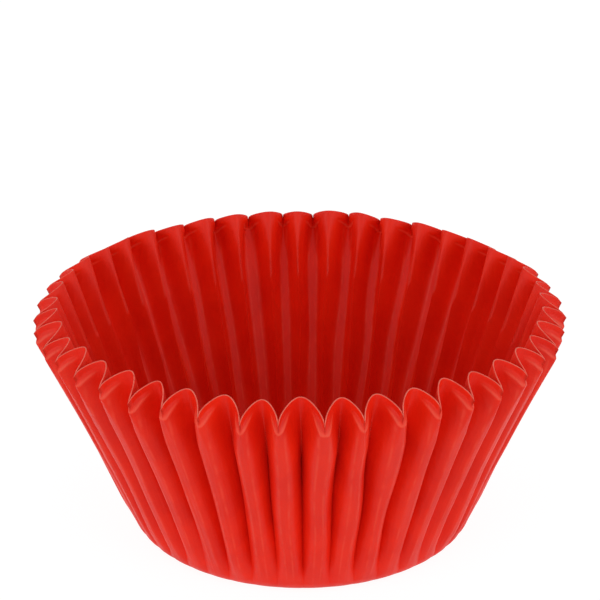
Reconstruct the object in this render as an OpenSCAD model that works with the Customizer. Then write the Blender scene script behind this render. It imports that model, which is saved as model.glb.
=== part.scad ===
// Pleated paper baking cup: one round sheet, pressed into a flat base and a leaning wall of radial folds.
// Millimetres. The cup stands on z = 0 with its base centred on the Z axis and an inner fold over -Y.
// The wall goes round less far than the same ring of the flat sheet did, and the folds take up the rest,
// so they grow from nothing at the base to their full depth at the rim. Below the rim each crease opens
// into an arch, and close to it each ridge is pinched to a cusp.

/* [Base] */
// Diameter of the flat round base, where the sheet starts to bend upwards
base_d = 44.8; // [36:0.2:60]
// Radius of the bend between the base and the wall, on the outside
bend_r = 3.1; // [1.5:0.1:5]

/* [Wall] */
// Height from the base to the highest edge of the rim
cup_h = 35.2; // [24:0.2:48]
// Diameter of the rim over the outer folds
rim_d = 77.2; // [66:0.2:90]
// How far the wall bows towards the inside, halfway up
wall_bow = 0.45; // [0:0.05:1]

/* [Pleats] */
// Number of pleats around the wall
pleats = 44; // [28:4:56]
// How far the folds reach in and out at the rim
rim_depth = 3.4; // [1.5:0.1:4.2]
// How far the rim dips from each inner fold to the outer folds beside it
rim_dip = 2.4; // [0:0.1:3]
// Share of that dip that lies at the very tips of the outer folds, and rounds their corners
tip_share = 0.4; // [0:0.05:0.8]
// Length of the sheet, from the edge of the base, over which the folds come in
ease_len = 8; // [3:0.5:14]
// Flat share of each outer ridge, in parts of half a pleat
ridge_share = 0.26; // [0:0.02:0.5]
// Roundness of the flanks between a ridge and the crease beside it: 1 is straight
flank_round = 1.7; // [1:0.1:2.5]

/* [Rim] */
// Height of the band below the rim in which the creases open into arches
open_h = 9; // [4:0.5:14]
// Height of the band below the rim in which the ridges are pinched to cusps
pinch_h = 1.5; // [1:0.1:3]
// How far the pinched cusps draw back from the ridges below them, in parts of the folds' depth there
tip_in = 0.09; // [0:0.01:0.25]
// How much of an arch the rim is: 0 is a plain wave and 1 is a row of round arches
arch_share = 0.85; // [0:0.05:1]
// How much of a half ellipse each arch spans: at 1 two arches meet in a thin cusp
arch_span = 0.985; // [0.9:0.005:0.995]

/* [Paper] */
// Thickness of the sheet
paper_t = 0.15; // [0.1:0.01:0.3]

/* [Hidden] */

paper_red = "#d83a34";

// Places of the points across one pleat, in parts of its width, from one outer fold to the next
PLACES = [0, 0.04, 0.13, 0.3, 0.5, 0.7, 0.87, 0.96];
// Half a pleat, which turns the cup so that an inner fold lies over -Y
first_turn = 0.5;
// Step over which the sheet's direction is measured, in parts of a pleat
feel = 0.02;
// Sharpness of the rounded corner at the tip of a fold
tip_sharp = 8;
// Where a crease's side ends and a ridge's side starts, on the way from an inner fold, 0, to an outer one, 1
crease_end = 0.2;
ridge_start = 0.75;

base_r = base_d / 2;
rim_r = rim_d / 2;
half_t = paper_t / 2;
around = pleats * len(PLACES);
turns = [for (i = [0 : pleats - 1], p = PLACES) i + p];

// The true disc in the middle of the base, and the ring of the folded sheet that it overlaps
disc_inset = 1.2;
ring_inset = 2;
disc_r = base_r - disc_inset;
ring_r = base_r - ring_inset;
disc_fn = 128;

// A cusp's tip and the two ends of the folds at the rim, in the middle of the sheet's thickness
tip = [rim_r - half_t, cup_h - rim_dip];
inner_rim = [rim_r - rim_depth - half_t, cup_h];
outer_rim = inner_rim + (tip - inner_rim) / (1 - tip_in);
mid_rim = (outer_rim + inner_rim) / 2;

// Lean of the wall from the vertical, between the end of the bend and the middle of the rim
lean_run = mid_rim[0] - base_r;
lean_rise = mid_rim[1] - bend_r;
lean = atan2(lean_run, lean_rise) - asin(bend_r / norm([lean_run, lean_rise]));
out_of_wall = [cos(lean), -sin(lean)];
up_wall = [sin(lean), cos(lean)];

// How far a fold's edge at the rim reaches across the wall and along it
rim_reach = (outer_rim - inner_rim) * out_of_wall;
rim_slip = (outer_rim - inner_rim) * up_wall;

foot = [base_r, bend_r] + (bend_r - half_t) * out_of_wall;
wall_len = norm(mid_rim - foot);
bend_angle = 90 - lean;
bend_len = bend_r * bend_angle * PI / 180;
blank_r = base_r + bend_len + wall_len;

// Rows of points: parts of the way round the bend, then parts of the way up the wall, which are its middle,
// where the creases start to open, where the ridges start to be pinched, and the rim
BEND_ROWS = [1/3, 2/3, 1];
open_part = 1 - open_h / wall_len;
mid_share = 0.6;
WALL_ROWS = [mid_share * open_part, open_part, 1 - pinch_h / wall_len, 1];
rows = len(BEND_ROWS) + len(WALL_ROWS);

// Smooth step: 0 up to x = 0 and 1 from x = 1 on
function smooth(x) = let (c = min(max(x, 0), 1)) c * c * (3 - 2 * c);

// Depth of the folds in a ring, next to their depth at the rim: from its radius in the flat sheet
// and its radius in the cup
function spare(flat_r, cup_r) =
    smooth((flat_r - base_r) / ease_len)
        * sqrt((flat_r * flat_r - cup_r * cup_r) / (blank_r * blank_r - mid_rim[0] * mid_rim[0]));

// Rise of an ellipse from its flat side, 0, to its steep end, 1
function ellipse(x) = 1 - sqrt(1 - x * x);

// How far a point stands out between the inner folds, 0, and the outer folds, 1
function fold(turn, part) =
    let (
        near = abs(2 * (turn - floor(turn)) - 1),
        ridge = 1 - pow(max(1 - near / (1 - ridge_share), 0), flank_round),
        wave = (1 + cos(360 * turn)) / 2,
        arch = ellipse(near * arch_span) / ellipse(arch_span),
        edge = (1 - tip_in) * (wave + arch_share * (arch - wave)),
        band = open_h + smooth((near - crease_end) / (ridge_start - crease_end)) * (pinch_h - open_h),
        formed = smooth(1 - (1 - part) * wall_len / band)
    )
    ridge + formed * (edge - ridge);

// Middle surface in the bend: part runs from 0 at the flat base to 1 at the foot of the wall
function bend_point(part, out) =
    let (
        angle = part * bend_angle,
        depth = rim_reach * spare(base_r + bend_len * part, base_r + bend_r * sin(angle)),
        r = bend_r - half_t + (out - 0.5) * depth
    )
    [base_r + r * sin(angle), bend_r - r * cos(angle)];

// Middle surface of the wall: part runs from 0 at its foot to 1 at the rim
function wall_point(part, out) =
    let (
        at = foot + part * (mid_rim - foot),
        depth = rim_reach * spare(base_r + bend_len + wall_len * part, at[0]),
        bow = 4 * wall_bow * part * (1 - part),
        corner = pow(min(out / (1 - tip_in), 1), tip_sharp),
        slip = (out + tip_share * (corner - out) - 0.5) * rim_slip * part
    )
    at + ((out - 0.5) * depth - bow) * out_of_wall + slip * up_wall;

// Middle surface in one row, as a section of the cup: row 0 is the edge of the flat base
function section_point(row, turn) =
    row == 0 ? [base_r, half_t]
        : row <= len(BEND_ROWS) ? bend_point(BEND_ROWS[row - 1], fold(turn, 0))
        : let (part = WALL_ROWS[row - 1 - len(BEND_ROWS)]) wall_point(part, fold(turn, part));

function sheet_point(row, turn) =
    let (
        angle = 360 * (turn + first_turn) / pleats,
        at = section_point(row, turn)
    )
    [at[0] * sin(angle), -at[0] * cos(angle), at[1]];

// Unit normal of the middle surface, pointing away from the inside of the cup
function sheet_normal(row, turn) =
    let (
        across = sheet_point(row, turn + feel) - sheet_point(row, turn - feel),
        up = sheet_point(min(row + 1, rows), turn) - sheet_point(row - 1, turn),
        out = cross(across, up)
    )
    out / norm(out);

// One skin of the sheet: side is 1 for the outside and -1 for the inside
function skin(side) = [
    for (row = [-1 : rows], turn = turns)
        let (
            angle = 360 * (turn + first_turn) / pleats,
            r = row < 0 ? ring_r : base_r
        )
        row <= 0
            ? [r * sin(angle), -r * cos(angle), half_t - side * half_t]
            : sheet_point(row, turn) + side * half_t * sheet_normal(row, turn)
];

// The folded sheet, from a ring of the base to the rim: an outer and an inner skin, joined at both edges
module folded_sheet() {
    count = around * (rows + 2);
    outer_faces = [
        for (row = [0 : rows], i = [0 : around - 1])
            let (
                a = row * around + i,
                b = row * around + (i + 1) % around
            )
            each [[a, b + around, b], [a, a + around, b + around]]
    ];
    inner_faces = [
        for (face = outer_faces)
            [face[2] + count, face[1] + count, face[0] + count]
    ];
    rim_faces = [
        for (i = [0 : around - 1])
            let (
                a = (rows + 1) * around + i,
                b = (rows + 1) * around + (i + 1) % around
            )
            each [[a, a + count, b + count], [a, b + count, b]]
    ];
    ring_faces = [
        for (i = [0 : around - 1])
            let (b = (i + 1) % around)
            each [[i, b, b + count], [i, b + count, i + count]]
    ];
    polyhedron(
        points = concat(skin(1), skin(-1)),
        faces = concat(outer_faces, inner_faces, rim_faces, ring_faces),
        convexity = 10
    );
}

// The whole cup: the folded sheet, closed by the flat disc of its base
module baking_cup() {
    color(paper_red) {
        cylinder(h = paper_t, r = disc_r, $fn = disc_fn);
        folded_sheet();
    }
}

baking_cup();
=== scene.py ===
"""Dresses a pleated paper baking cup: one round sheet of red greaseproof paper, pressed into folds.

The sheet starts as a flat disc in polar rings, is pressed into the cup by one rule for its folds,
and gets its thickness last. Sizes are in millimetres until the mesh is written in metres.
"""

import logging
import math
from dataclasses import dataclass, field
from enum import Enum

import bmesh
import bpy
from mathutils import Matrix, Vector


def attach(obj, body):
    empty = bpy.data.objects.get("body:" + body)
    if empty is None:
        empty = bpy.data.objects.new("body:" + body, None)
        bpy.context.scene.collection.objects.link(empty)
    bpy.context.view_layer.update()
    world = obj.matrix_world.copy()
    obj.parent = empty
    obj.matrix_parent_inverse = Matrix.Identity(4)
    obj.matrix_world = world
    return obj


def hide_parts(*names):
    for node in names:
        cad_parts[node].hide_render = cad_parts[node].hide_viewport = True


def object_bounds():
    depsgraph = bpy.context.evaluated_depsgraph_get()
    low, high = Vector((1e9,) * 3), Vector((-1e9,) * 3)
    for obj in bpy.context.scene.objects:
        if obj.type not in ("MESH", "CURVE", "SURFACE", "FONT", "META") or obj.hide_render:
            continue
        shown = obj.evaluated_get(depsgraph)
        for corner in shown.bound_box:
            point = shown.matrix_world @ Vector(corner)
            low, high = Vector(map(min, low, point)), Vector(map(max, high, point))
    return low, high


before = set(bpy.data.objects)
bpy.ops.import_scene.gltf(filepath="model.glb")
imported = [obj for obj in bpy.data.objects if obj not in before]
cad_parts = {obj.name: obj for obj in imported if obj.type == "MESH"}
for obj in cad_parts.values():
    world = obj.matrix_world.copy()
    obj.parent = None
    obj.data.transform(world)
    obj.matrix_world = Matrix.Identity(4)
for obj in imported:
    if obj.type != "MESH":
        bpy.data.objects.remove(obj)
CAD_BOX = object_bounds()

LOG = logging.getLogger("baking_cup")
MM = 0.001
NODE = "baking_cup"
BODY = "root"
WHITE = (1.0, 1.0, 1.0, 1.0)
# A point this close to an inner fold, in parts of the way to an outer one, lies in the crease
IN_CREASE = 0.001


class Layer(str, Enum):
    """Names of the values that the sheet's points carry to its material."""

    FOLD = "fold"
    REACH = "reach"


def smooth(value: float) -> float:
    """Returns a soft step from 0 to 1 for a value that runs from 0 to 1."""
    value = min(max(value, 0.0), 1.0)
    return value * value * (3.0 - 2.0 * value)


def ellipse(value: float) -> float:
    """Returns the rise of an ellipse from its flat side, at 0, to its steep end, at 1."""
    return 1.0 - math.sqrt(1.0 - value * value)


def mix(low: float, high: float, part: float) -> float:
    """Returns the value that lies the given part of the way from low to high."""
    return low + (high - low) * part


def ring_order(item: bmesh.types.BMVert | bmesh.types.BMEdge | bmesh.types.BMFace) -> float:
    """Numbers a point, edge or face of the flat blank, so that each run lists them in the same order.

    Args:
        item: Part of a mesh whose rings lie at whole radii.

    Returns:
        Its ring, plus its place round the ring as a share of one turn.
    """
    points = getattr(item, "verts", [item])
    centre = sum((vert.co for vert in points), Vector()) / len(points)
    slack = 0.1
    return math.floor(centre.length + slack) + math.atan2(centre.y, centre.x) / math.tau % 1.0


@dataclass(frozen=True)
class Wave:
    """A few waves round the cup, added up, which close after one turn.

    Attributes:
        cycles: Number of waves per turn of each part.
        phase: Phase of the first part, in radians.
        size: About how far the sum reaches to either side of zero.
        gain: What makes up for the parts' tops not falling together.
    """

    cycles: tuple[int, ...]
    phase: float
    size: float
    gain: float = 1.4

    def at(self, around: float) -> float:
        """Gives the sum at a share of one turn round the cup."""
        total = 0.0
        for order, count in enumerate(self.cycles):
            total += math.sin(math.tau * count * around + self.phase * (order + 1))
        return total / len(self.cycles) * self.gain * self.size


@dataclass(frozen=True)
class Unevenness:
    """How hand-pressed folds stray from even ones.

    Attributes:
        shift: How far a fold strays sideways at the rim, in pleats.
        depth: What is added to its depth at the rim, as a share of it.
        rim: What is added to the height of the rim, in millimetres.
        kink: How far a fold snakes sideways on its way up, in pleats.
        low_ridge: What is added to the flat share of a ridge at the foot of the wall.
        high_ridge: The same at the rim.
        start: What is added to the depth of a fold at the foot of the wall, as a share of it.
        start_share: Part of the wall over which that fades out.
        kink_waves: Number of sideways waves of that kink up the wall.
        kink_twist: How far their phase shifts to either side round the cup, in radians.
        kink_lobes: How often it does so in one turn.
        lean: How far the whole rim leans aside, in millimetres.
    """

    shift: Wave = Wave((15, 7, 19), 0.4, 0.055)
    depth: Wave = Wave((17, 9, 20), 1.1, 0.10)
    rim: Wave = Wave((13, 19, 5), 2.0, 0.22)
    kink: Wave = Wave((21, 16), 0.9, 0.05)
    low_ridge: Wave = Wave((11, 18, 6), 2.6, 0.10)
    high_ridge: Wave = Wave((8, 21, 13), 0.7, 0.10)
    start: Wave = Wave((14, 19, 10), 1.7, 0.45)
    start_share: float = 0.45
    kink_waves: float = 1.3
    kink_twist: float = 2.1
    kink_lobes: int = 5
    lean: float = 0.4

    def ridge(self, around: float, part: float) -> float:
        """Gives what is added to the flat share of a ridge, at a part of the wall's height."""
        return mix(self.low_ridge.at(around), self.high_ridge.at(around), part)

    def deepen(self, around: float, part: float) -> float:
        """Gives what is added to the depth of a fold, as a share of it."""
        low = max(1.0 - part / self.start_share, 0.0)
        return part * self.depth.at(around) + low * self.start.at(around)

    def stray(self, around: float, part: float) -> float:
        """Gives how far a fold strays sideways, in pleats."""
        twist = self.kink_twist * math.sin(self.kink_lobes * math.tau * around)
        snake = math.sin(math.pi * part) * math.sin(math.tau * self.kink_waves * part + twist)
        return part * self.shift.at(around) + snake * self.kink.at(around)


@dataclass
class PressedSheet:
    """The cup's one sheet: a round blank, pressed into a flat base, a bend and a pleated wall.

    Its height and its rim come from the CAD model, and the sizes that its source names have their values
    from there. Lengths are in millimetres, and places across a pleat are parts of the way from an inner
    fold, at 0, to an outer one, at 1.

    Attributes:
        pinch_end: How far below the rim the steep ledge under a cusp ends.
        crease_blunt: Roundness of the creases up to where they open.
        open_blunt: Their roundness at the rim.
        blunt_h: Height of the band below the rim in which the one turns into the other.
        ledge_highlight_h: How far below the rim a pale line is painted across each ridge, as a painted
            highlight on the ledge under a cusp.
        points: Number of points across a pleat.
        gather_both: How far these points gather at both kinds of folds.
        gather_outer: How far they gather at the outer folds alone.
        flat_rows: Rings of points in the flat base, as parts of its radius.
        lip_h: Height of the band below the rim in which the rings lie closest.
    """

    base_r: float = 22.4
    bend_r: float = 3.1
    pleats: int = 44
    cup_h: float = CAD_BOX[1][2] / MM
    # An inner fold lies on the X axis, so the outer folds that set the box are half a pleat off it
    rim_r: float = CAD_BOX[1][0] / MM / math.cos(math.pi / pleats)
    rim_depth: float = 3.4
    rim_dip: float = 2.4
    tip_in: float = 0.09
    tip_share: float = 0.4
    tip_sharp: float = 8.0
    wall_bow: float = 0.45
    paper_t: float = 0.15
    ridge_share: float = 0.26
    flank_round: float = 1.7
    arch_share: float = 0.85
    arch_span: float = 0.985
    pinch_h: float = 1.5
    pinch_end: float = 0.85
    open_h: float = 9.0
    crease_blunt: float = 0.02
    open_blunt: float = 0.35
    blunt_h: float = 7.2
    ledge_highlight_h: float = 1.4
    crease_end: float = 0.2
    ridge_start: float = 0.75
    ease_len: float = 8.0
    first_fold: float = 0.5
    points: int = 20
    gather_both: float = 0.035
    gather_outer: float = 0.02
    flat_rows: tuple[float, ...] = (0.35, 0.7, 0.92, 1.0)
    bend_rows: int = 8
    wall_rows: int = 22
    lip_rows: int = 20
    lip_h: float = 2.2
    uneven: Unevenness = field(default_factory=Unevenness)

    def __post_init__(self) -> None:
        """Works out the wall's lean and length, and how its folds reach out at the rim."""
        half = self.paper_t / 2
        tip = Vector((self.rim_r - half, self.cup_h - self.rim_dip))
        inner_rim = Vector((self.rim_r - self.rim_depth - half, self.cup_h))
        outer_rim = inner_rim + (tip - inner_rim) / (1.0 - self.tip_in)
        self.middle = (outer_rim + inner_rim) / 2
        run = self.middle.x - self.base_r
        rise = self.middle.y - self.bend_r
        self.lean = math.atan2(run, rise) - math.asin(self.bend_r / math.hypot(run, rise))
        self.out_of_wall = Vector((math.cos(self.lean), -math.sin(self.lean)))
        self.up_wall = Vector((math.sin(self.lean), math.cos(self.lean)))
        self.rim_reach = (outer_rim - inner_rim).dot(self.out_of_wall)
        self.rim_slip = (outer_rim - inner_rim).dot(self.up_wall)
        self.bend_len = self.bend_r * (math.pi / 2 - self.lean)
        self.foot = Vector((self.base_r, self.bend_r)) + self.out_of_wall * (self.bend_r - half)
        self.wall_len = (self.middle - self.foot).length
        self.blank_r = self.base_r + self.bend_len + self.wall_len

    def spare(self, flat_r: float, cup_r: float) -> float:
        """Gives how deep folds must be to take up the paper of a ring, next to those at the rim.

        Args:
            flat_r: Radius of the ring in the flat blank.
            cup_r: Radius of the same ring in the cup, halfway between its folds.

        Returns:
            The depth, where 1 is the depth at the rim.
        """
        ease = smooth((flat_r - self.base_r) / self.ease_len)
        return ease * math.sqrt((flat_r**2 - cup_r**2) / (self.blank_r**2 - self.middle.x**2))

    def bend_point(self, part: float, out: float) -> Vector:
        """Places a point of the bend between base and wall.

        Args:
            part: 0 at the flat base and 1 at the foot of the wall.
            out: 0 on an inner fold and 1 on an outer fold.

        Returns:
            Distance from the axis, and height.
        """
        angle = part * (math.pi / 2 - self.lean)
        flat_r = self.base_r + self.bend_r * angle
        cup_r = self.base_r + self.bend_r * math.sin(angle)
        depth = self.rim_reach * self.spare(flat_r, cup_r)
        radius = self.bend_r - self.paper_t / 2 + (out - 0.5) * depth
        return Vector((self.base_r + radius * math.sin(angle), self.bend_r - radius * math.cos(angle)))

    def wall_point(self, part: float, out: float) -> Vector:
        """Places a point of the wall; part is 0 at its foot and 1 at the rim."""
        at = self.foot.lerp(self.middle, part)
        depth = self.rim_reach * self.spare(self.base_r + self.bend_len + self.wall_len * part, at.x)
        at += self.out_of_wall * ((out - 0.5) * depth - self.wall_bow * 4.0 * part * (1.0 - part))
        corner = min(max(out, 0.0) / (1.0 - self.tip_in), 1.0) ** self.tip_sharp
        tip = mix(out, corner, self.tip_share)
        return at + self.up_wall * (tip - 0.5) * self.rim_slip * part

    def fold(self, turn: float, part: float) -> float:
        """Gives the shape of a pleat across its width.

        Args:
            turn: Place round the cup in pleats, with an outer fold at every whole number.
            part: 0 at the foot of the wall and 1 at the rim.

        Returns:
            0 on the inner fold and 1 on the outer fold.
        """
        near = abs(2.0 * (turn % 1.0) - 1.0)
        below = (1.0 - part) * self.wall_len
        blunt = mix(self.crease_blunt, self.open_blunt, smooth(1.0 - below / self.blunt_h))
        soft = math.hypot(near, blunt) - blunt
        flank = 1.0 - self.ridge_share - self.uneven.ridge(turn / self.pleats, part)
        broad = 1.0 - max(1.0 - soft / flank, 0.0) ** self.flank_round
        crest = (1.0 + math.cos(math.tau * turn)) / 2
        arch = ellipse(near * self.arch_span) / ellipse(self.arch_span)
        beside = smooth((near - self.crease_end) / (self.ridge_start - self.crease_end))
        start = mix(self.open_h, self.pinch_h, beside)
        end = self.pinch_end * beside
        formed = smooth((start - below) / (start - end))
        edge = (1.0 - self.tip_in) * mix(crest, arch, self.arch_share)
        return mix(broad, edge, formed)

    def place(self, turn: float, row: float) -> Vector:
        """Places a point of the sheet's middle in the pressed cup.

        Args:
            turn: Place round the cup in pleats.
            row: 0 to 1 over the flat base, 1 to 2 over the bend and 2 to 3 up the wall.

        Returns:
            The point, in millimetres.
        """
        around = (turn + self.first_fold) / self.pleats
        if row <= 1.0:
            at = Vector((self.base_r * row, self.paper_t / 2))
        elif row <= 2.0:
            at = self.bend_point(row - 1.0, self.fold(turn, 0.0))
        else:
            part = row - 2.0
            share = turn / self.pleats
            out = 0.5 + (self.fold(turn, part) - 0.5) * (1.0 + self.uneven.deepen(share, part))
            at = self.wall_point(part, out)
            at.y += self.uneven.rim.at(share) * part**2
            around += self.uneven.stray(share, part) / self.pleats
        angle = math.tau * around
        aside = self.uneven.lean * at.y / self.cup_h
        return Vector((at.x * math.sin(angle) - aside, -at.x * math.cos(angle), at.y))

    def reach(self, row: float) -> float:
        """Gives a ring's distance from the middle of the flat blank, in millimetres."""
        if row <= 1.0:
            return self.base_r * row
        if row <= 2.0:
            return self.base_r + self.bend_len * (row - 1.0)
        return self.base_r + self.bend_len + self.wall_len * (row - 2.0)

    def rows(self) -> list[float]:
        """Lists the rings of the blank, closest together near the rim."""
        bend = [1.0 + (i + 1) / self.bend_rows for i in range(self.bend_rows)]
        lip = 1.0 - self.lip_h / self.wall_len
        wall = [2.0 + lip * (i + 1) / self.wall_rows for i in range(self.wall_rows)]
        fine = [2.0 + mix(lip, 1.0, (i + 1) / self.lip_rows) for i in range(self.lip_rows)]
        return [*self.flat_rows, *bend, *wall, *fine]

    def spread(self, step: int) -> float:
        """Turns a point's number within a pleat into its place, with more points at the two folds."""
        even = step / self.points
        twice = self.gather_both * math.sin(2 * math.tau * even)
        return even - twice - self.gather_outer * math.sin(math.tau * even)

    def blank(self) -> bmesh.types.BMesh:
        """Builds the flat round blank as rings, drawn out from a small disc.

        Returns:
            The flat mesh, whose rings lie at whole radii 1, 2, 3 and so on.
        """
        around = self.pleats * self.points
        sheet = bmesh.new()
        bmesh.ops.create_circle(sheet, cap_ends=True, cap_tris=True, segments=around, radius=1.0)
        edges = [edge for edge in sheet.edges if edge.is_boundary]
        for ring in range(2, len(self.rows()) + 1):
            grown = bmesh.ops.extrude_edge_only(sheet, edges=edges)["geom"]
            points = [item for item in grown if isinstance(item, bmesh.types.BMVert)]
            edges = [item for item in grown if isinstance(item, bmesh.types.BMEdge) and item.is_boundary]
            bmesh.ops.scale(sheet, vec=(ring / (ring - 1),) * 3, verts=points)
        bmesh.ops.recalc_face_normals(sheet, faces=sheet.faces)
        for items in (sheet.verts, sheet.edges, sheet.faces):
            items.sort(key=ring_order)
            items.index_update()
        return sheet

    def press(self, sheet: bmesh.types.BMesh) -> None:
        """Moves every point of the flat blank to its place in the cup, and notes where it came from.

        Args:
            sheet: The flat blank, with its rings at whole radii.
        """
        fold = sheet.verts.layers.float.new(Layer.FOLD.value)
        reach = sheet.verts.layers.float.new(Layer.REACH.value)
        flat = sheet.loops.layers.uv.new("blank")
        strip = sheet.loops.layers.uv.new("strip")
        rows = self.rows()
        around = self.pleats * self.points
        heading = {}
        turns = {}
        for vert in sheet.verts:
            ring = round(vert.co.length)
            heading[vert.index] = vert.co.normalized()
            if ring == 0:
                vert[fold] = 0.5
                vert[reach] = 0.0
                vert.co = (0.0, 0.0, self.paper_t / 2)
                continue
            step = round(math.atan2(vert.co.y, vert.co.x) / math.tau * around) % around
            turn = step // self.points + self.spread(step % self.points)
            turns[vert.index] = turn
            vert[fold] = abs(2.0 * (turn % 1.0) - 1.0)
            vert[reach] = self.reach(rows[ring - 1])
            vert.co = self.place(turn, rows[ring - 1])
        for face in sheet.faces:
            at_seam = any(turns.get(vert.index, 0.0) > 1.0 for vert in face.verts)
            for loop in face.loops:
                loop[flat].uv = (heading[loop.vert.index] * loop.vert[reach] * MM).xy
                turn = turns.get(loop.vert.index, 0.0)
                if turn == 0.0 and at_seam:
                    turn = float(self.pleats)
                loop[strip].uv = (turn, loop.vert[reach])
        opening = self.blank_r - self.open_h
        for edge in sheet.edges:
            in_crease = all(vert[fold] < IN_CREASE and vert[reach] < opening for vert in edge.verts)
            edge.smooth = not in_crease

    def build(self, name: str, finishes: list[bpy.types.Material]) -> bpy.types.Object:
        """Makes the cup as one mesh piece.

        Args:
            name: Name of the piece.
            finishes: Material of the two faces of the paper, then of its cut edge.

        Returns:
            The cup, standing at the origin.
        """
        sheet = self.blank()
        self.press(sheet)
        bmesh.ops.scale(sheet, vec=(MM,) * 3, verts=sheet.verts)
        for face in sheet.faces:
            face.smooth = True
        mesh = bpy.data.meshes.new(name)
        sheet.to_mesh(mesh)
        sheet.free()
        for finish in finishes:
            mesh.materials.append(finish)
        cup = bpy.data.objects.new(name, mesh)
        bpy.context.scene.collection.objects.link(cup)
        wall = cup.modifiers.new("paper thickness", "SOLIDIFY")
        wall.thickness = self.paper_t * MM
        wall.offset = 0.0
        wall.use_even_offset = False
        wall.use_quality_normals = True
        wall.material_offset_rim = 1
        return cup


@dataclass
class NodeBoard:
    """A node tree being filled, with short calls for what every finish needs."""

    tree: bpy.types.NodeTree

    def add(self, kind: str, **settings: object) -> bpy.types.Node:
        """Adds a node and sets its properties."""
        node = self.tree.nodes.new(kind)
        for key, value in settings.items():
            setattr(node, key, value)
        return node

    def join(self, source: bpy.types.NodeSocket, target: bpy.types.NodeSocket) -> None:
        """Links one socket to another."""
        self.tree.links.new(source, target)

    def feed(self, value: object, socket: bpy.types.NodeSocket) -> None:
        """Gives a socket its value: a plain one, or what another node's socket puts out."""
        if isinstance(value, bpy.types.NodeSocket):
            self.join(value, socket)
        else:
            socket.default_value = value

    def noise(self, place: bpy.types.NodeSocket, scale: float, detail: float) -> bpy.types.NodeSocket:
        """Adds a noise over a place and returns its value."""
        node = self.add("ShaderNodeTexNoise")
        node.inputs["Scale"].default_value = scale
        node.inputs["Detail"].default_value = detail
        self.join(place, node.inputs["Vector"])
        return node.outputs["Fac"]

    def calc(self, kind: str, *values: object) -> bpy.types.NodeSocket:
        """Adds a math node on one or two values, each a number or a socket, and returns its result."""
        node = self.add("ShaderNodeMath", operation=kind)
        for socket, value in zip(node.inputs, values):
            self.feed(value, socket)
        return node.outputs["Value"]

    def span(
        self, value: bpy.types.NodeSocket, source: tuple[float, float], result: tuple[float, float]
    ) -> bpy.types.NodeSocket:
        """Maps a value, softly and clamped, from its source range to the range of the result."""
        node = self.add("ShaderNodeMapRange", interpolation_type="SMOOTHSTEP")
        self.join(value, node.inputs["Value"])
        node.inputs["From Min"].default_value, node.inputs["From Max"].default_value = source
        node.inputs["To Min"].default_value, node.inputs["To Max"].default_value = result
        return node.outputs["Result"]

    def blend(self, part: object, low: object, high: object) -> bpy.types.NodeSocket:
        """Mixes two colours, each a colour or a socket, and returns the result."""
        node = self.add("ShaderNodeMix", data_type="RGBA")
        sockets = {socket.identifier: socket for socket in [*node.inputs, *node.outputs]}
        self.feed(part, sockets["Factor_Float"])
        self.feed(low, sockets["A_Color"])
        self.feed(high, sockets["B_Color"])
        return sockets["Result_Color"]


def new_group(
    name: str, takes: dict[str, float], gives: tuple[str, ...]
) -> tuple[bpy.types.NodeTree, NodeBoard, bpy.types.Node, bpy.types.Node]:
    """Starts a shader node group of plain values.

    Args:
        name: Name of the group.
        takes: Names and default values of its inputs. A name that ends in Place is a vector.
        gives: Names of its outputs.

    Returns:
        The group, its board, its input node and its output node.
    """
    group = bpy.data.node_groups.new(name, "ShaderNodeTree")
    for label, value in takes.items():
        kind = "NodeSocketVector" if label.endswith("Place") else "NodeSocketFloat"
        socket = group.interface.new_socket(name=label, in_out="INPUT", socket_type=kind)
        if kind == "NodeSocketFloat":
            socket.default_value = value
    for label in gives:
        group.interface.new_socket(name=label, in_out="OUTPUT", socket_type="NodeSocketFloat")
    board = NodeBoard(group)
    return group, board, board.add("NodeGroupInput"), board.add("NodeGroupOutput")


def paper_fibres() -> bpy.types.NodeTree:
    """Builds the group for the pressed fibres of paper.

    Returns:
        A group whose Tone is a cloudy value from 0 to 1 and whose Grain is a fine height.
    """
    takes = {"Place": 0.0, "Cloud Size": 160.0, "Fibre Size": 2600.0}
    group, board, start, end = new_group("Paper Fibres", takes, ("Tone", "Grain"))
    cloud = board.add("ShaderNodeTexNoise")
    cloud.inputs["Detail"].default_value = 3.0
    board.join(start.outputs["Place"], cloud.inputs["Vector"])
    board.join(start.outputs["Cloud Size"], cloud.inputs["Scale"])
    fibre = board.add("ShaderNodeTexNoise")
    fibre.inputs["Detail"].default_value = 4.0
    fibre.inputs["Roughness"].default_value = 0.6
    fibre.inputs["Distortion"].default_value = 1.2
    board.join(start.outputs["Place"], fibre.inputs["Vector"])
    board.join(start.outputs["Fibre Size"], fibre.inputs["Scale"])
    fibre_share = 0.4
    tone_range = (0.45, 0.95)
    finer = board.calc("MULTIPLY", fibre.outputs["Fac"], fibre_share)
    tone = board.calc("ADD", cloud.outputs["Fac"], finer)
    board.join(board.span(tone, tone_range, (0.0, 1.0)), end.inputs["Tone"])
    board.join(fibre.outputs["Fac"], end.inputs["Grain"])
    return group


def crease_wear_and_highlight() -> bpy.types.NodeTree:
    """Builds the group for the pale lines along a ridge's two shoulders: partly paler paper that folding
    leaves, partly a painted highlight where the shoulders catch the light.

    Returns:
        A group whose Mask is 1 along the two shoulders of a ridge and 0 away from them.
    """
    takes = {"Place": 0.0, "Fold": 0.5, "Shoulder": 0.75, "Width": 0.1}
    group, board, start, end = new_group("Crease Wear And Highlight", takes, ("Mask",))
    patch_scale = 420.0
    patch_range = (0.38, 0.62)
    least_wear_and_highlight = 0.2
    cloud = board.noise(start.outputs["Place"], patch_scale, detail=2.0)
    patch = board.span(cloud, patch_range, (least_wear_and_highlight, 1.0))
    off = board.calc("SUBTRACT", start.outputs["Fold"], start.outputs["Shoulder"])
    near = board.calc("DIVIDE", board.calc("ABSOLUTE", off), start.outputs["Width"])
    # Pale line along each shoulder of a ridge: partly paler creased paper, partly a painted highlight
    line = board.span(near, (0.0, 1.0), (1.0, 0.0))
    board.join(board.calc("MULTIPLY", line, patch), end.inputs["Mask"])
    return group


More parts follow.
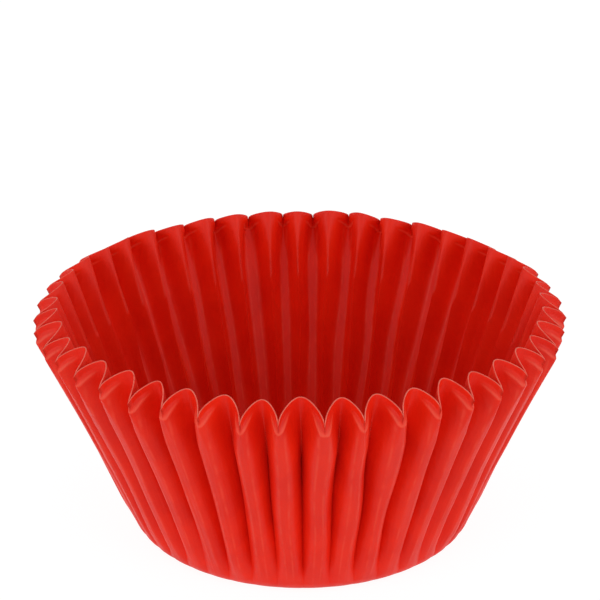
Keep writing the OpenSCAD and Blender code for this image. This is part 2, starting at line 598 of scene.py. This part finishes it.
@dataclass(frozen=True)
class RedPaper:
    """Dyed greaseproof paper: a saturated matte red. Its pale shoulder and cut-edge lines are partly
    creased and cut paper and partly painted highlights, and its pale line under the cusps is a painted
    highlight.

    Lengths are in millimetres of the flat blank, from its middle outwards.

    Attributes:
        rim: Radius of the blank's cut edge.
        ledge: Radius of the painted highlight line under the cusps.
        deep: Colour of the darker clouds.
        pale: Colour of the pale lines: partly creased and cut paper, partly painted highlights.
        pale_wear_and_highlight: Strength of the pale lines at a ridge's shoulders, partly creased paper
            and partly a painted highlight.
        shoulder: Place of a shoulder on the way from an inner fold, 0, to an outer one, 1.
        wear_and_highlight_w: Half the width of such a line there, in the same parts.
        flat_end: Radius up to which the sheet is flat, with no pale shoulder lines or streaks.
        folded_from: Radius from which these have their full strength.
        streaks: Number of streaks in a pleat.
        streak_rate: Changes of a streak in a millimetre up the wall.
        highlight_from: Place across a pleat from which the painted highlight under a cusp starts.
        highlight_full: Place from which it is painted at full strength.
    """

    rim: float
    ledge: float
    name: str = "red greaseproof paper"
    red: tuple[float, float, float, float] = (0.90, 0.020, 0.0015, 1.0)
    deep: tuple[float, float, float, float] = (0.81, 0.013, 0.001, 1.0)
    pale: tuple[float, float, float, float] = (0.92, 0.07, 0.035, 1.0)
    roughness: float = 0.50
    less_rough: float = 0.04
    more_rough: float = 0.05
    ior: float = 1.35
    grain: float = 0.45
    grain_h: float = 0.06
    grain_range: tuple[float, float] = (0.3, 0.7)
    pale_wear_and_highlight: float = 0.5
    shoulder: float = 0.74
    wear_and_highlight_w: float = 0.10
    flat_end: float = 24.0
    folded_from: float = 30.0
    streaks: float = 7.0
    streak_rate: float = 0.11
    press_h: float = 0.10
    ledge_highlight_band: float = 0.25
    ledge_fade: float = 1.0
    highlight_from: float = 0.45
    highlight_full: float = 0.7
    cut_pale_and_highlight_band: float = 0.14
    cut_pale_and_highlight: float = 0.7

    def make(self, fibres: bpy.types.NodeTree, wear_and_highlight: bpy.types.NodeTree) -> bpy.types.Material:
        """Builds the material.

        Args:
            fibres: The group for the paper's fibres.
            wear_and_highlight: The group for the pale shoulder lines, partly creased paper and partly a
                painted highlight.

        Returns:
            The material of the sheet's two faces.
        """
        material = bpy.data.materials.new(self.name)
        material.use_nodes = True
        board = NodeBoard(material.node_tree)
        shader = material.node_tree.nodes["Principled BSDF"]
        flat = board.add("ShaderNodeUVMap", uv_map="blank")
        fold = board.add("ShaderNodeAttribute", attribute_name=Layer.FOLD.value)
        paper = board.add("ShaderNodeGroup", node_tree=fibres)
        board.join(flat.outputs["UV"], paper.inputs["Place"])
        creases = board.add("ShaderNodeGroup", node_tree=wear_and_highlight)
        board.join(flat.outputs["UV"], creases.inputs["Place"])
        board.join(fold.outputs["Fac"], creases.inputs["Fold"])
        creases.inputs["Shoulder"].default_value = self.shoulder
        creases.inputs["Width"].default_value = self.wear_and_highlight_w
        reach = board.add("ShaderNodeAttribute", attribute_name=Layer.REACH.value)
        folded = board.span(reach.outputs["Fac"], (self.flat_end, self.folded_from), (0.0, 1.0))
        body = board.blend(paper.outputs["Tone"], self.deep, self.red)
        # Shoulder lines, painted pale: partly creased paper, partly a painted highlight
        line = board.calc("MULTIPLY", creases.outputs["Mask"], folded)
        fade = (self.ledge - self.ledge_fade, self.ledge)
        line = board.calc("MULTIPLY", line, board.span(reach.outputs["Fac"], fade, (self.pale_wear_and_highlight, 0.0)))
        # Painted highlight: a pale line across each ridge just under its cusp, where the ledge catches
        # the light
        start = (self.ledge - self.ledge_highlight_band, self.ledge)
        end = (self.ledge, self.ledge + self.ledge_highlight_band)
        rise = board.span(reach.outputs["Fac"], start, (0.0, 1.0))
        fall = board.span(reach.outputs["Fac"], end, (1.0, 0.0))
        ridge = board.span(fold.outputs["Fac"], (self.highlight_from, self.highlight_full), (0.0, 1.0))
        ledge_highlight = board.calc("MULTIPLY", board.calc("MULTIPLY", rise, fall), ridge)
        # Thin pale band on the faces along the cut edge: partly paler cut paper, partly a painted
        # highlight on the rim
        cut_edge = (self.rim - self.cut_pale_and_highlight_band, self.rim)
        cut = board.span(reach.outputs["Fac"], cut_edge, (0.0, self.cut_pale_and_highlight))
        # All pale marks together: the painted highlight under the cusps, plus the shoulder lines and
        # cut-edge band, each partly paler paper and partly a painted highlight
        pale_wear_and_highlight = board.calc("MAXIMUM", board.calc("MAXIMUM", line, ledge_highlight), cut)
        board.join(board.blend(pale_wear_and_highlight, body, self.pale), shader.inputs["Base Color"])
        rough_range = (self.roughness - self.less_rough, self.roughness + self.more_rough)
        rough = board.span(paper.outputs["Grain"], self.grain_range, rough_range)
        board.join(rough, shader.inputs["Roughness"])
        strip = board.add("ShaderNodeUVMap", uv_map="strip")
        drawn = board.add("ShaderNodeMapping")
        drawn.inputs["Scale"].default_value = (self.streaks, self.streak_rate, 1.0)
        board.join(strip.outputs["UV"], drawn.inputs["Vector"])
        streak = board.noise(drawn.outputs["Vector"], scale=1.0, detail=3.0)
        press = board.add("ShaderNodeBump")
        press.inputs["Strength"].default_value = 1.0
        press.inputs["Distance"].default_value = self.press_h * MM
        board.join(board.calc("MULTIPLY", streak, folded), press.inputs["Height"])
        bump = board.add("ShaderNodeBump")
        bump.inputs["Strength"].default_value = self.grain
        bump.inputs["Distance"].default_value = self.grain_h * MM
        board.join(paper.outputs["Grain"], bump.inputs["Height"])
        board.join(press.outputs["Normal"], bump.inputs["Normal"])
        board.join(bump.outputs["Normal"], shader.inputs["Normal"])
        shader.inputs["IOR"].default_value = self.ior
        return material


@dataclass(frozen=True)
class CutEdge:
    """The sheet's cut edge, in a pale colour: partly the paper's paler core, partly a painted highlight
    along the rim.
    """

    name: str = "cut paper edge"
    pale: tuple[float, float, float, float] = (0.95, 0.20, 0.14, 1.0)
    deep: tuple[float, float, float, float] = (0.90, 0.11, 0.07, 1.0)
    roughness: float = 0.7
    cloud_size: float = 900.0

    def make(self, fibres: bpy.types.NodeTree) -> bpy.types.Material:
        """Builds the material of the edge from the group for the paper's fibres."""
        material = bpy.data.materials.new(self.name)
        material.use_nodes = True
        board = NodeBoard(material.node_tree)
        shader = material.node_tree.nodes["Principled BSDF"]
        place = board.add("ShaderNodeTexCoord")
        paper = board.add("ShaderNodeGroup", node_tree=fibres)
        board.join(place.outputs["Object"], paper.inputs["Place"])
        paper.inputs["Cloud Size"].default_value = self.cloud_size
        tone = board.blend(paper.outputs["Tone"], self.deep, self.pale)
        board.join(tone, shader.inputs["Base Color"])
        shader.inputs["Roughness"].default_value = self.roughness
        return material


@dataclass
class Studio:
    """Camera, floor, backdrop and lamps of a plain white product shot.

    Attributes:
        lens: Focal length of the camera, in millimetres.
        distance: From the camera to its aim, in millimetres.
        aim_x: How far right of the cup's axis it aims, in millimetres.
        aim_z: How far above the floor it aims, in millimetres.
        sky: Strength of the surround as light, up to the horizon and a little above.
        zenith: Its strength straight above.
        horizon: Rise, as a part of straight up, from which it dims.
        floor_fill: Glow of the floor, as the camera sees it.
        floor_white: Shade of the floor, as the cup sees it.
        floor_shade: Its shade, as the camera sees it, which keeps the cup's shadow.
        floor_r: Radius of the floor, in metres.
        lamp_distance: From the lamps to the cup, in metres.
        lamp_power: Power of each lamp, in watts.
        lamp_width: Side of each lamp, in metres.
    """

    lens: float = 134.2
    distance: float = 324.8
    elevation: float = 22.72
    azimuth: float = -0.4
    aim_x: float = -0.3
    aim_z: float = 34.5
    sky: float = 1.0
    zenith: float = 0.24
    horizon: float = 0.1
    floor_fill: float = 0.91
    floor_white: float = 0.90
    floor_shade: float = 0.22
    floor_r: float = 4.0
    floor_sides: int = 64
    lamp_azimuth: float = 50.0
    lamp_elevation: float = 15.0
    lamp_distance: float = 1.2
    lamp_power: float = 3.7
    lamp_width: float = 0.9

    def direction(self, azimuth: float, elevation: float) -> Vector:
        """Returns the unit vector from the cup towards a place given by its angles in degrees."""
        turn = math.radians(azimuth)
        rise = math.radians(elevation)
        level = math.cos(rise)
        return Vector((math.sin(turn) * level, -math.cos(turn) * level, math.sin(rise)))

    def camera(self) -> None:
        """Stands the camera where the photograph was taken from."""
        data = bpy.data.cameras.new("camera")
        data.lens = self.lens
        data.sensor_width = 36.0
        data.clip_start = 0.01
        data.clip_end = 50.0
        camera = bpy.data.objects.new("camera", data)
        bpy.context.scene.collection.objects.link(camera)
        back = self.direction(self.azimuth, self.elevation)
        aim = Vector((self.aim_x, 0.0, self.aim_z)) * MM
        camera.location = aim + back * self.distance * MM
        camera.rotation_euler = (-back).to_track_quat("-Z", "Y").to_euler()
        bpy.context.scene.camera = camera

    def seen(self, board: NodeBoard) -> bpy.types.NodeSocket:
        """Adds the light path test for what the camera sees, directly or by gloss or glass."""
        path = board.add("ShaderNodeLightPath")
        direct = board.calc("MAXIMUM", path.outputs["Is Camera Ray"], path.outputs["Is Glossy Ray"])
        return board.calc("MAXIMUM", direct, path.outputs["Is Transmission Ray"])

    def world(self) -> None:
        """Makes an even white surround: plain white to the eye, a little dimmer as light."""
        world = bpy.data.worlds.new("studio")
        world.use_nodes = True
        bpy.context.scene.world = world
        board = NodeBoard(world.node_tree)
        light = world.node_tree.nodes["Background"]
        place = board.add("ShaderNodeTexCoord")
        split = board.add("ShaderNodeSeparateXYZ")
        board.join(place.outputs["Generated"], split.inputs["Vector"])
        shine = board.span(split.outputs["Z"], (self.horizon, 1.0), (self.sky, self.zenith))
        board.join(board.calc("MAXIMUM", self.seen(board), shine), light.inputs["Strength"])
        light.inputs["Color"].default_value = WHITE

    def floor(self) -> bpy.types.Object:
        """Lays a white floor that keeps the cup's shadow.

        Returns:
            The floor.
        """
        disc = bmesh.new()
        bmesh.ops.create_circle(disc, cap_ends=True, segments=self.floor_sides, radius=self.floor_r)
        mesh = bpy.data.meshes.new("floor")
        disc.to_mesh(mesh)
        disc.free()
        floor = bpy.data.objects.new("floor", mesh)
        bpy.context.scene.collection.objects.link(floor)
        material = bpy.data.materials.new("white floor")
        material.use_nodes = True
        board = NodeBoard(material.node_tree)
        shader = material.node_tree.nodes["Principled BSDF"]
        pale = (self.floor_white,) * 3 + (1.0,)
        shown = (self.floor_shade,) * 3 + (1.0,)
        board.join(board.blend(self.seen(board), pale, shown), shader.inputs["Base Color"])
        shader.inputs["Roughness"].default_value = 1.0
        shader.inputs["Specular IOR Level"].default_value = 0.0
        shader.inputs["Emission Color"].default_value = WHITE
        fill = board.calc("MULTIPLY", self.seen(board), self.floor_fill)
        board.join(fill, shader.inputs["Emission Strength"])
        mesh.materials.append(material)
        return floor

    def lamp(self, name: str, azimuth: float) -> None:
        """Hangs a soft square lamp that faces the cup.

        Args:
            name: Name of the lamp.
            azimuth: Side it stands on, in degrees, with 0 behind the camera.
        """
        data = bpy.data.lights.new(name, "AREA")
        data.energy = self.lamp_power
        data.size = self.lamp_width
        lamp = bpy.data.objects.new(name, data)
        bpy.context.scene.collection.objects.link(lamp)
        back = self.direction(azimuth, self.lamp_elevation)
        lamp.location = back * self.lamp_distance
        lamp.rotation_euler = (-back).to_track_quat("-Z", "Y").to_euler()

    def build(self) -> None:
        """Sets up the whole studio."""
        self.camera()
        self.world()
        self.floor()
        self.lamp("left softbox", -self.lamp_azimuth)
        self.lamp("right softbox", self.lamp_azimuth)
        bpy.context.scene.view_settings.view_transform = "Standard"


def main() -> None:
    """Builds the studio and the cup, and says what was made."""
    logging.basicConfig(level=logging.INFO, format="%(message)s")
    Studio().build()
    fibres = paper_fibres()
    sheet = PressedSheet()
    faces = RedPaper(sheet.blank_r, sheet.blank_r - sheet.ledge_highlight_h).make(fibres, crease_wear_and_highlight())
    edge = CutEdge().make(fibres)
    cup = sheet.build("pleated_cup", [faces, edge])
    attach(cup, BODY)
    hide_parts(NODE)
    LOG.info("%s: %d faces before its thickness", cup.name, len(cup.data.polygons))


if __name__ == "__main__":
    main()
